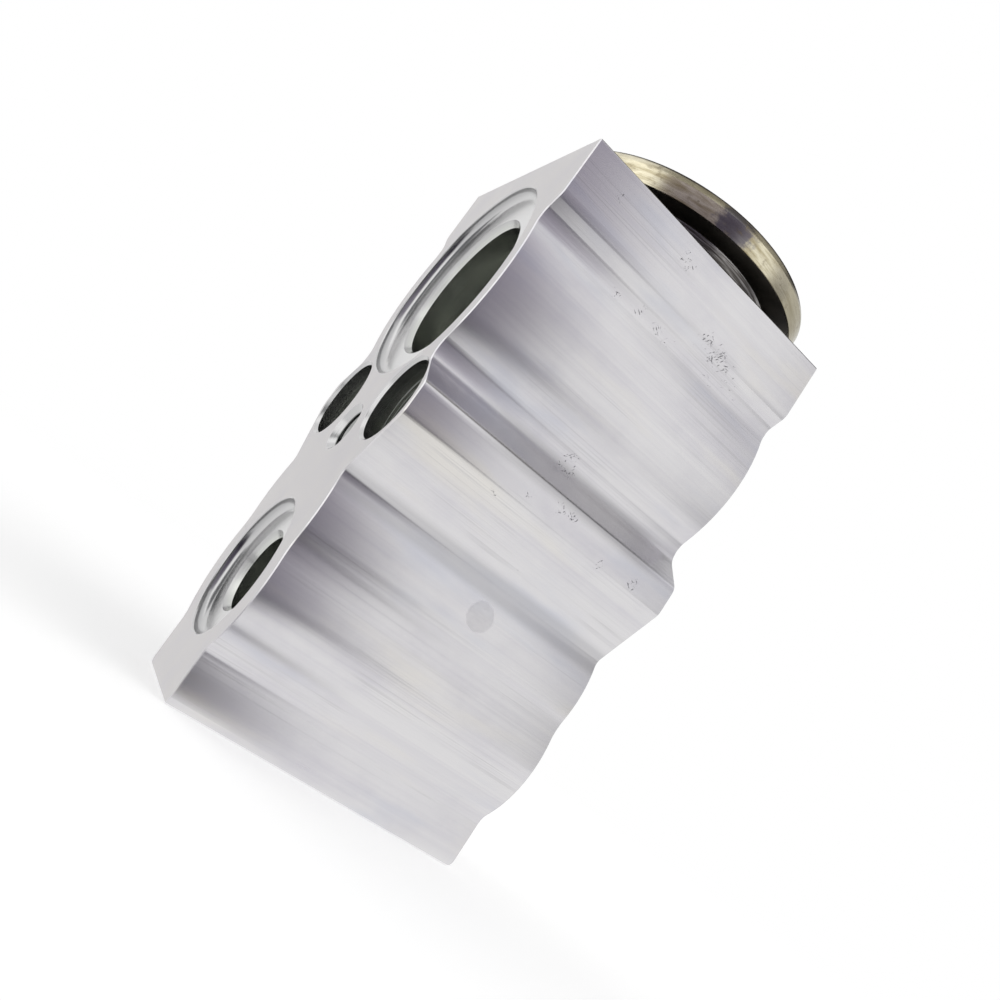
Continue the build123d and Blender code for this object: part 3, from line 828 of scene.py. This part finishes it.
@dataclass(frozen=True)
class NeckSteel(Finish):
    """The neck's turned steel: painted shade by the block, lined by the tool, with a painted highlight on its
    top edge.
    """

    clean: Colour = (0.420, 0.405, 0.395)
    # painted shade near the block, where the neck meets its seat
    seat_shade: Colour = (0.075, 0.068, 0.062)
    # painted highlight on the top edge
    wear_and_glint: Colour = (0.900, 0.890, 0.880)
    seat_height: float = 72.0
    edge_height: float = 73.74
    edge_reach: float = 15.0

    def paint(self, bench: Bench) -> Socket:
        """Fine lines round the collar, painted shade from the seat upwards, and a painted highlight on the top
        edge.

        Args:
            bench: where the nodes go.

        Returns:
            The shader.
        """
        place = bench.place()
        x, y, z = bench.split(place)
        reach = distance(x, y)
        lines = bench.noise(bench.join(x / reach, y / reach, z), (3.0, 3.0, 7.0), 3.0, 0.7)
        cloud = bench.noise(place, (0.25, 0.25, 0.9), 3.0, 0.6)
        raised = z.rise(self.seat_height + 0.15, self.seat_height + 1.20)
        top = z.rise(self.edge_height - 0.04, self.edge_height + 0.03)
        edge = top * reach.rise(self.edge_reach, self.edge_reach + 0.1)
        shade = (lines.rise(0.40, 0.66) * raised * (0.35 + cloud * 1.1)).smaller(1.0)
        # painted shade from the seat up, and a painted highlight on the top edge
        colour = bench.layers(self.seat_shade, (shade, self.clean), (edge * cloud.rise(0.25, 0.45), self.wear_and_glint))
        return bench.surface(
            Base_Color=colour,
            Metallic=1.0,
            Roughness=0.20 + lines * 0.14 + cloud * 0.08,
            Normal=bench.relief(lines, 0.012, 0.6),
        )


@dataclass(frozen=True)
class RolledSteel(Finish):
    """Pressed strip: the rolling's grain in one direction and faint heat colour."""

    clean: Colour = (0.520, 0.510, 0.490)
    dark: Colour = (0.250, 0.235, 0.210)
    shine: float = 0.28

    def paint(self, bench: Bench) -> Socket:
        """Rolling grain along X, with dull clouds and fine scratches.

        Args:
            bench: where the nodes go.

        Returns:
            The shader.
        """
        place = bench.place()
        rolled = bench.noise(place, (0.12, 6.0, 3.0), 3.0, 0.65)
        cloud = bench.noise(place, (0.25, 0.25, 0.4), 4.0, 0.6)
        rub = bench.noise(bench.turn(place, (0.0, 0.0, 28.0)), (0.3, 5.0, 2.0), 3.0, 0.6)
        colour = bench.layers(
            self.clean, (cloud.rise(0.35, 0.75) * 0.7, self.dark), (rub.rise(0.60, 0.72) * 0.35, self.clean)
        )
        return bench.surface(
            Base_Color=colour,
            Metallic=1.0,
            Roughness=self.shine + rolled * 0.12 + cloud * 0.12,
            Normal=bench.relief(rolled * 0.6 + rub * 0.4, 0.008, 0.5),
        )


@dataclass(frozen=True)
class MouldedRubber(Finish):
    """Black nitrile: matt, with a fine skin and dusty patches."""

    skin: Colour = (0.018, 0.019, 0.021)
    dust: Colour = (0.075, 0.075, 0.078)

    def paint(self, bench: Bench) -> Socket:
        """A fine grain with paler dust in the low places.

        Args:
            bench: where the nodes go.

        Returns:
            The shader.
        """
        place = bench.place()
        skin = bench.noise(place, (9.0, 9.0, 9.0), 4.0, 0.6)
        dust = bench.noise(place, (0.8, 0.8, 0.8), 3.0, 0.6)
        colour = bench.blend(dust.rise(0.45, 0.75) * skin.rise(0.3, 0.7), self.skin, self.dust)
        return bench.surface(
            Base_Color=colour,
            Roughness=0.48 + skin * 0.16 + dust * 0.10,
            Normal=bench.relief(skin, 0.02, 0.5),
        )


@dataclass(frozen=True)
class Glow(Finish):
    """A studio board's even tone, fading out at its edges."""

    tone: Colour
    far_tone: Colour
    half: tuple[float, float]
    fade: tuple[float, float]

    def paint(self, bench: Bench) -> Socket:
        """One tone shading into the other along the board's height, and nothing past the faded edge.

        Args:
            bench: where the nodes go.

        Returns:
            The shader.
        """
        x, y, _ = bench.split(bench.local())
        across = (self.half[0] - abs(x)).rise(0.0, self.fade[0])
        inner = across * (self.half[1] - abs(y)).rise(0.0, self.fade[1])
        clear = bench.add("ShaderNodeBsdfTransparent").outputs[0]
        shade = bench.blend(y.rise(-self.half[1], self.half[1]), self.tone, self.far_tone)
        return bench.pick(inner, clear, bench.light(shade, 1.0))


@dataclass(frozen=True)
class PaleFloor(Finish):
    """The plain white floor, which keeps the object's shadow."""

    paint_colour: Colour = (0.80, 0.80, 0.80)
    lift: float = 0.45
    near: float = 0.10
    far: float = 0.50

    def paint(self, bench: Bench) -> Socket:
        """Paint, lifted towards white for the camera, wholly so far off, and white in metal and glass.

        Args:
            bench: where the nodes go.

        Returns:
            The shader.
        """
        seen, mirrored = bench.rays()
        paint = bench.add("ShaderNodeBsdfDiffuse", None, {"Color": self.paint_colour}).outputs[0]
        white = bench.light(WHITE, 1.0)
        glow = bench.light(WHITE, self.lift)
        lifted = bench.add("ShaderNodeAddShader", None, {0: paint, 1: glow}).outputs[0]
        x, y, _ = bench.split(bench.local())
        shown = bench.pick(distance(x, y).rise(self.near, self.far), lifted, white)
        return bench.pick(mirrored, bench.pick(seen, paint, shown), white)


def linked(name: str, data: bpy.types.ID) -> Piece:
    """Makes an object and puts it in the scene.

    Args:
        name: the object's name.
        data: its mesh, lamp or camera.

    Returns:
        The object.
    """
    made = bpy.data.objects.new(name, data)
    bpy.context.scene.collection.objects.link(made)
    return made


def flat(name: str, half: tuple[float, float], finish: Finish) -> Piece:
    """Makes a flat rectangle that faces up.

    Args:
        name: the piece's name.
        half: half its size along X and Y, in metres.
        finish: the piece's finish.

    Returns:
        The finished piece.
    """
    x, y = half
    mesh = bpy.data.meshes.new(name)
    mesh.from_pydata([(-x, -y, 0.0), (x, -y, 0.0), (x, y, 0.0), (-x, y, 0.0)], [], [(0, 1, 2, 3)])
    made = linked(name, mesh)
    finish.coat(made)
    return made


def swept(name: str, points: Sequence[Vector], corners: int, finish: Finish) -> Piece:
    """Makes a closed piece from a section that was carried along a path.

    Args:
        name: the piece's name.
        points: the section's corners at each step, in metres, one step after another.
        corners: how many corners the section has.
        finish: the piece's finish.

    Returns:
        The finished piece.
    """
    steps = len(points) // corners - 1
    faces: list[tuple[int, ...]] = []
    for step in range(steps):
        first = step * corners
        for corner in range(corners):
            after = (corner + 1) % corners
            faces.append((first + corner, first + corners + corner, first + corners + after, first + after))
    faces.append(tuple(range(corners)))
    faces.append(tuple(steps * corners + corner for corner in reversed(range(corners))))
    mesh = bpy.data.meshes.new(name)
    mesh.from_pydata(points, [], faces)
    mesh.validate()
    piece = linked(name, mesh)
    finish.coat(piece)
    return piece


@dataclass
class Assembly(ABC):
    """A group of pieces that are built and dressed together."""

    @abstractmethod
    def finishes(self) -> dict[str, Finish]:
        """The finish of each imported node."""

    def dress(self, nodes: Mapping[str, Piece]) -> Iterable[Piece]:
        """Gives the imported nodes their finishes.

        Args:
            nodes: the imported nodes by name.

        Returns:
            The dressed nodes.
        """
        for name, finish in self.finishes().items():
            finish.coat(nodes[name])
        return [nodes[name] for name in self.finishes()]

    def build(self) -> Iterable[Piece]:
        """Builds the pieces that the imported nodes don't have."""
        return []


@dataclass
class Block(Assembly):
    """The aluminium block and the thread in its line screw's hole. Sizes in millimetres."""

    front: float = -21.0
    suction_height: float = 55.3
    suction_reach: float = 13.85
    suction_lead: float = 10.0
    inlet_height: float = 15.2
    inlet_reach: float = 8.95
    inlet_lead: float = 5.3
    outlet_height: float = 23.6
    outlet_reach: float = 9.45
    outlet_lead: float = 6.3
    fixing_across: float = 9.9
    fixing_height: float = 38.1
    fixing_reach: float = 5.6
    tapped_height: float = 34.0
    tapped_reach: float = 3.3
    thread_wall: float = 2.5
    thread_crest: float = 2.27
    thread_pitch: float = 1.0
    thread_start: float = 0.95
    thread_end: float = 10.6
    thread_steps: int = 48
    thread_sunk: float = 0.03
    thread_half: float = 0.42
    thread_flat: float = 0.16
    run_out_turns: float = 0.5
    run_out_half: float = 0.15
    handled: tuple[SidePatch, ...] = (
        SidePatch(-5.0, 69.5, 2.0),
        SidePatch(-15.6, 68.9, 1.2),
        SidePatch(-8.9, 61.3, 1.6),
        SidePatch(-5.5, 61.9, 2.1),
        SidePatch(-2.8, 61.9, 2.2),
        SidePatch(-0.8, 61.2, 1.5),
        SidePatch(2.3, 64.3, 2.2),
        SidePatch(4.9, 64.0, 2.4),
        SidePatch(6.6, 63.5, 2.4),
        SidePatch(8.7, 62.9, 2.0),
        SidePatch(-8.1, 35.7, 1.1),
        SidePatch(-4.8, 37.7, 1.0),
        SidePatch(-0.9, 38.9, 1.3),
        SidePatch(0.9, 39.1, 1.3),
        SidePatch(-1.2, 44.1, 1.5),
        SidePatch(7.0, 36.9, 1.4),
        SidePatch(11.8, 37.4, 1.5),
    )
    # painted shade strips along the block's sides
    streaks: tuple[ShadeStrip, ...] = (
        ShadeStrip(41.8, 2.4, -12.0, 13.0, 0.50),
        ShadeStrip(28.4, 1.4, -30.0, 30.0, 0.42),
    )

    def finishes(self) -> dict[str, Finish]:
        """The block's finish, which knows its holes.

        Returns:
            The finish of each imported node.
        """
        fixing = Bore(self.fixing_reach, self.fixing_height, self.fixing_across)
        bores = (
            Bore(self.suction_reach, self.suction_height, dished_from=self.suction_lead),
            Bore(self.inlet_reach, self.inlet_height, side=-1, dished_from=self.inlet_lead),
            Bore(self.outlet_reach, self.outlet_height, side=1, dished_from=self.outlet_lead),
            fixing,
            Bore(self.tapped_reach, self.tapped_height, side=-1),
        )
        threaded = Bore(self.thread_wall + 2.0 * self.thread_sunk, self.tapped_height, side=-1)
        finish = ExtrudedBlock("block_aluminium", bores, threaded, fixing, self.handled, self.streaks)
        return {"valve_block": finish}

    def build(self) -> Iterable[Piece]:
        """Builds the thread."""
        return [self._thread()]

    def _thread(self) -> Piece:
        """Winds a ridge round the hole's wall, thin at its two ends.

        Returns:
            The thread, riding on the block.
        """
        turns = (self.thread_end - self.thread_start) / self.thread_pitch
        count = int(turns * self.thread_steps)
        points: list[Vector] = []
        for step in range(count + 1):
            share = step / count
            angle = math.tau * turns * share
            depth = self.thread_start + (self.thread_end - self.thread_start) * share
            grown = min(1.0, min(share, 1.0 - share) * turns / self.run_out_turns)
            crest = self.thread_wall - (self.thread_wall - self.thread_crest) * grown
            root = self.thread_wall + self.thread_sunk
            width = self.run_out_half + (1.0 - self.run_out_half) * grown
            half = self.thread_half * self.thread_pitch * width
            level = self.thread_flat * half
            section = ((root, -half), (crest, -level), (crest, level), (root, half))
            for radius, shift in section:
                x = radius * math.cos(angle)
                z = radius * math.sin(angle)
                points.append(Vector((x, self.front + depth + shift, self.tapped_height + z)) * MM)
        # painted shade: the thread's colours darkened for the deep hole
        finish = TurnedMetal("tapped_aluminium", (0.42, 0.43, 0.42), (0.14, 0.14, 0.14), axis=Axis.THROUGH)
        thread = swept("line_screw_thread", points, len(section), finish)
        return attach(thread, Body.BLOCK.value)


@dataclass
class PowerHead(Assembly):
    """The head that senses the suction gas: covers, neck, diaphragm, plug and the ring under its collar."""

    def finishes(self) -> dict[str, Finish]:
        """The head's finishes.

        Returns:
            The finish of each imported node.
        """
        return {
            "head_top_cover": YellowPassivate("top_cover_passivate"),
            # painted shade: the lower cover's steel near black, for the shade under the head
            "head_lower_cover": RolledSteel(
                "lower_cover_steel", (0.120, 0.110, 0.090), (0.045, 0.042, 0.036), 0.38
            ),
            "head_neck": NeckSteel("neck_steel"),
            "head_seal": MouldedRubber("head_ring_rubber"),
            "diaphragm": RolledSteel("diaphragm_steel", (0.620, 0.610, 0.590), (0.400, 0.385, 0.350), 0.20),
            "diaphragm_stopper": TurnedMetal("stopper_steel", (0.520, 0.510, 0.490)),
            "charge_plug": TurnedMetal("plug_steel", (0.430, 0.390, 0.290), (0.200, 0.170, 0.110), 0.30),
        }


@dataclass
class SensingStem(Assembly):
    """The rod through the suction passage, the pin to the ball and the packing round the pin."""

    def finishes(self) -> dict[str, Finish]:
        """The stem's finishes.

        Returns:
            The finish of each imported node.
        """
        return {
            "sensing_rod": TurnedMetal("rod_aluminium", (0.660, 0.660, 0.665), (0.450, 0.445, 0.450), 0.20),
            "push_pin": TurnedMetal("pin_steel", (0.600, 0.595, 0.585), (0.420, 0.410, 0.400), 0.12, 0.08),
            "rod_seal": MouldedRubber("pin_ring_rubber"),
            "seal_washer": TurnedMetal("washer_steel", (0.520, 0.510, 0.500), (0.300, 0.290, 0.270), 0.26),
            "seal_retainer": RolledSteel(
                "retainer_steel", (0.480, 0.465, 0.430), (0.230, 0.210, 0.170), 0.24
            ),
        }


@dataclass
class MeteringEnd(Assembly):
    """The seat, the ball, its carrier and the springs that close it. Sizes in millimetres."""

    coil_reach: float = 3.7
    wire: float = 0.55
    coil_turns: float = 5.5
    coil_base: float = 4.6
    coil_top: float = 13.9
    parted_at: float = 0.54
    held: float = 0.15
    coil_steps: int = 48
    wire_sides: int = 16
    wire_colours: tuple[Colour, Colour] = ((0.420, 0.410, 0.395), (0.180, 0.170, 0.155))

    def finishes(self) -> dict[str, Finish]:
        """The metering end's finishes.

        Returns:
            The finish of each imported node.
        """
        return {
            "valve_seat": TurnedMetal("seat_steel", (0.560, 0.550, 0.530), (0.350, 0.340, 0.320), 0.18, 0.10),
            "valve_ball": TurnedMetal("ball_steel", (0.640, 0.635, 0.625), (0.520, 0.510, 0.500), 0.06, 0.05),
            "ball_carrier": TurnedMetal("carrier_steel", (0.530, 0.520, 0.500)),
            "damper_spring": RolledSteel("damper_steel", (0.430, 0.400, 0.340), (0.200, 0.180, 0.140), 0.24),
        }

    def build(self) -> Iterable[Piece]:
        """Builds the superheat spring in two lengths, the lower and the upper.

        Returns:
            The lower and the upper coils.
        """
        middle = self.coil_base + (self.coil_top - self.coil_base) * self.parted_at
        lower = self._coils("spring_lower_coils", 0.0, self.parted_at)
        upper = self._coils("spring_upper_coils", self.parted_at, 1.0)
        for coils in (lower, upper):
            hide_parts("superheat_spring")
        still = self.wire * 1.1
        spans = (
            (lower, Body.SCREW_RING, middle - still, self.coil_base + self.held),
            (upper, Body.STEM, middle + still, self.coil_top - self.held),
        )
        for coils, body, start, end in spans:
            near, far = (0.0, 0.0, start * MM), (0.0, 0.0, end * MM)
            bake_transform(coils)
        return [lower, upper]

    def _coils(self, name: str, first: float, last: float) -> Piece:
        """Winds a length of the spring, with the ground ends flat.

        Args:
            name: the piece's name.
            first: where it starts, as a share of the whole height.
            last: where it ends.

        Returns:
            The coils, not yet on a body.
        """
        rise = self.coil_top - self.coil_base
        slope = rise / (self.coil_turns * math.tau * self.coil_reach)
        count = round(self.coil_turns * self.coil_steps * (last - first))
        points: list[Vector] = []
        for step in range(count + 1):
            share = first + (last - first) * step / count
            angle = math.tau * self.coil_turns * share
            outward = Vector((math.cos(angle), math.sin(angle), 0.0))
            upward = Vector((math.sin(angle) * slope, -math.cos(angle) * slope, 1.0)).normalized()
            middle = outward * self.coil_reach + Vector((0.0, 0.0, self.coil_base + rise * share))
            for side in range(self.wire_sides):
                turn = math.tau * side / self.wire_sides
                point = middle + (outward * math.cos(turn) + upward * math.sin(turn)) * self.wire
                point.z = min(max(point.z, self.coil_base), self.coil_top)
                points.append(point * MM)
        finish = TurnedMetal("spring_wire", *self.wire_colours, 0.22, 0.3)
        return swept(name, points, self.wire_sides, finish)


@dataclass
class Adjuster(Assembly):
    """The screw in the foot that loads the spring, and its ring."""

    def finishes(self) -> dict[str, Finish]:
        """The adjuster's finishes.

        Returns:
            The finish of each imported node.
        """
        return {
            "adjusting_screw": TurnedMetal("screw_brass", (0.690, 0.520, 0.250), (0.360, 0.250, 0.110), 0.22),
            "adjuster_seal": MouldedRubber("screw_ring_rubber"),
        }


@dataclass(frozen=True)
class Board:
    """A studio board that only reflections see. Sizes and places in metres."""

    name: str
    centre: Triple
    width: float
    height: float
    tone: Colour
    fade: float
    across: Axis
    turned: float = 0.0
    far_tone: Colour | None = None
    side_fade: float | None = None

    def build(self) -> Piece:
        """Sets the board square to its axis, and turned about Z by its angle in degrees if it lies flat.

        Returns:
            The board.
        """
        half = (self.width / 2, self.height / 2)
        fade = (self.side_fade or self.fade, self.fade)
        board = flat(self.name, half, Glow(self.name, self.tone, self.far_tone or self.tone, half, fade))
        turns = {
            Axis.ACROSS: (math.pi / 2, 0.0, math.pi / 2),
            Axis.THROUGH: (math.pi / 2, 0.0, 0.0),
            Axis.STEM: (0.0, 0.0, math.radians(self.turned)),
        }
        board.rotation_euler = turns[self.across]
        board.location = self.centre
        board.visible_camera = False
        board.visible_diffuse = False
        board.visible_transmission = False
        board.visible_shadow = False
        return board


@dataclass
class Studio:
    """The floor, the white surround, the soft lamps and the boards. Sizes in metres."""

    floor_half: float = 4.0
    surround: float = 0.42
    lamp_size: float = 1.1
    lamp_watts: float = 5.0
    lamp_high: Triple = (0.55, 0.45, 0.85)
    lamp_front: Triple = (-0.75, -0.80, 0.60)
    front_share: float = 0.6
    aim: Triple = (0.0, 0.0, 0.04)
    floor_gap: float = 0.00005
    boards: tuple[Board, ...] = (
        Board(
            "dark_board_right",
            (0.078, -0.052, 0.082),
            0.134,
            0.190,
            (0.128, 0.112, 0.155),
            0.016,
            Axis.ACROSS,
            far_tone=(0.440, 0.410, 0.480),
        ),
        Board(
            "dark_card_foot",
            (0.016, -0.031, 0.0007),
            0.064,
            0.0074,
            (0.120, 0.112, 0.140),
            0.0020,
            Axis.ACROSS,
            side_fade=0.028,
        ),
        Board(
            "dark_board_low",
            (0.086, -0.036, 0.0002),
            0.134,
            0.100,
            (0.040, 0.034, 0.052),
            0.012,
            Axis.STEM,
            turned=33.0,
        ),
        Board(
            "dark_board_above", (-0.034, 0.034, 0.160), 0.200, 0.146, (0.020, 0.018, 0.024), 0.030, Axis.STEM
        ),
        Board(
            "soft_board_behind",
            (0.078, 0.112, 0.095),
            0.124,
            0.240,
            (0.320, 0.316, 0.332),
            0.030,
            Axis.ACROSS,
            far_tone=(0.720, 0.715, 0.740),
        ),
        Board("soft_card_head", (0.019, 0.000, 0.100), 0.024, 0.056, (0.300, 0.290, 0.270), 0.006, Axis.STEM),
        Board(
            "lit_board_front", (-0.020, -0.160, 0.090), 0.240, 0.300, (1.400, 1.400, 1.390), 0.030,
            Axis.THROUGH,
        ),
        Board(
            "dark_board_front", (-0.050, -0.150, 0.062), 0.140, 0.180, (0.170, 0.175, 0.180), 0.030,
            Axis.THROUGH,
        ),
    )

    def build(self) -> None:
        """Builds everything round the object."""
        self._floor()
        self._surround()
        self._lamp("lamp_high", self.lamp_high, self.lamp_watts)
        self._lamp("lamp_front", self.lamp_front, self.lamp_watts * self.front_share)
        for board in self.boards:
            board.build()

    def _floor(self) -> None:
        """Lays the floor just under the foot."""
        floor = flat("floor", (self.floor_half, self.floor_half), PaleFloor("floor_paint"))
        floor.location = (0.0, 0.0, -self.floor_gap)

    def _surround(self) -> None:
        """Paints the world white where it is seen or mirrored, and a plain level where it lights."""
        world = bpy.data.worlds.new("surround")
        world.use_nodes = True
        bpy.context.scene.world = world
        bench = Bench(world.node_tree)
        seen, mirrored = bench.rays()
        lighting = bench.light(WHITE, self.surround, "ShaderNodeBackground")
        white = bench.light(WHITE, 1.0, "ShaderNodeBackground")
        bench.show(bench.pick(seen.larger(mirrored), lighting, white), "ShaderNodeOutputWorld")

    def _lamp(self, name: str, place: Triple, watts: float) -> None:
        """Hangs one square soft lamp, aimed at the object.

        Args:
            name: the lamp's name.
            place: its centre.
            watts: its power.
        """
        light = bpy.data.lights.new(name, "AREA")
        light.shape = "SQUARE"
        light.size = self.lamp_size
        light.energy = watts
        lamp = linked(name, light)
        lamp.visible_glossy = False
        lamp.location = place
        lamp.rotation_euler = (Vector(place) - Vector(self.aim)).to_track_quat("Z", "Y").to_euler()


@dataclass
class Viewpoint:
    """The camera at the photograph's place: its centre in metres and its three axes."""

    centre: Triple = (0.105323, -0.045765, 0.019181)
    right: Triple = (0.41329, 0.71775, 0.56038)
    up: Triple = (-0.10032, -0.57576, 0.81144)
    back: Triple = (0.90506, -0.39158, -0.16595)
    lens: float = 34.4421
    sensor: float = 36.0

    def build(self) -> None:
        """Makes the camera and gives it to the scene."""
        data = bpy.data.cameras.new("camera")
        data.lens = self.lens
        data.sensor_width = self.sensor
        data.sensor_fit = "HORIZONTAL"
        data.clip_start = 0.001
        data.clip_end = 100.0
        camera = linked("camera", data)
        axes = Matrix((self.right, self.up, self.back)).transposed().to_4x4()
        camera.matrix_world = Matrix.Translation(self.centre) @ axes
        bpy.context.scene.camera = camera


def main() -> None:
    """Builds the scene."""
    logging.basicConfig(level=logging.INFO, format="%(name)s: %(message)s")
    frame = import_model()
    bpy.context.scene.view_settings.view_transform = "Standard"
    for assembly in (Block(), PowerHead(), SensingStem(), MeteringEnd(), Adjuster()):
        for piece in assembly.dress(frame["nodes"]):
            log.info("dressed %s", piece.name)
        for piece in assembly.build():
            log.info("built %s", piece.name)
    Studio().build()
    Viewpoint().build()


if __name__ == "__main__":
    main()
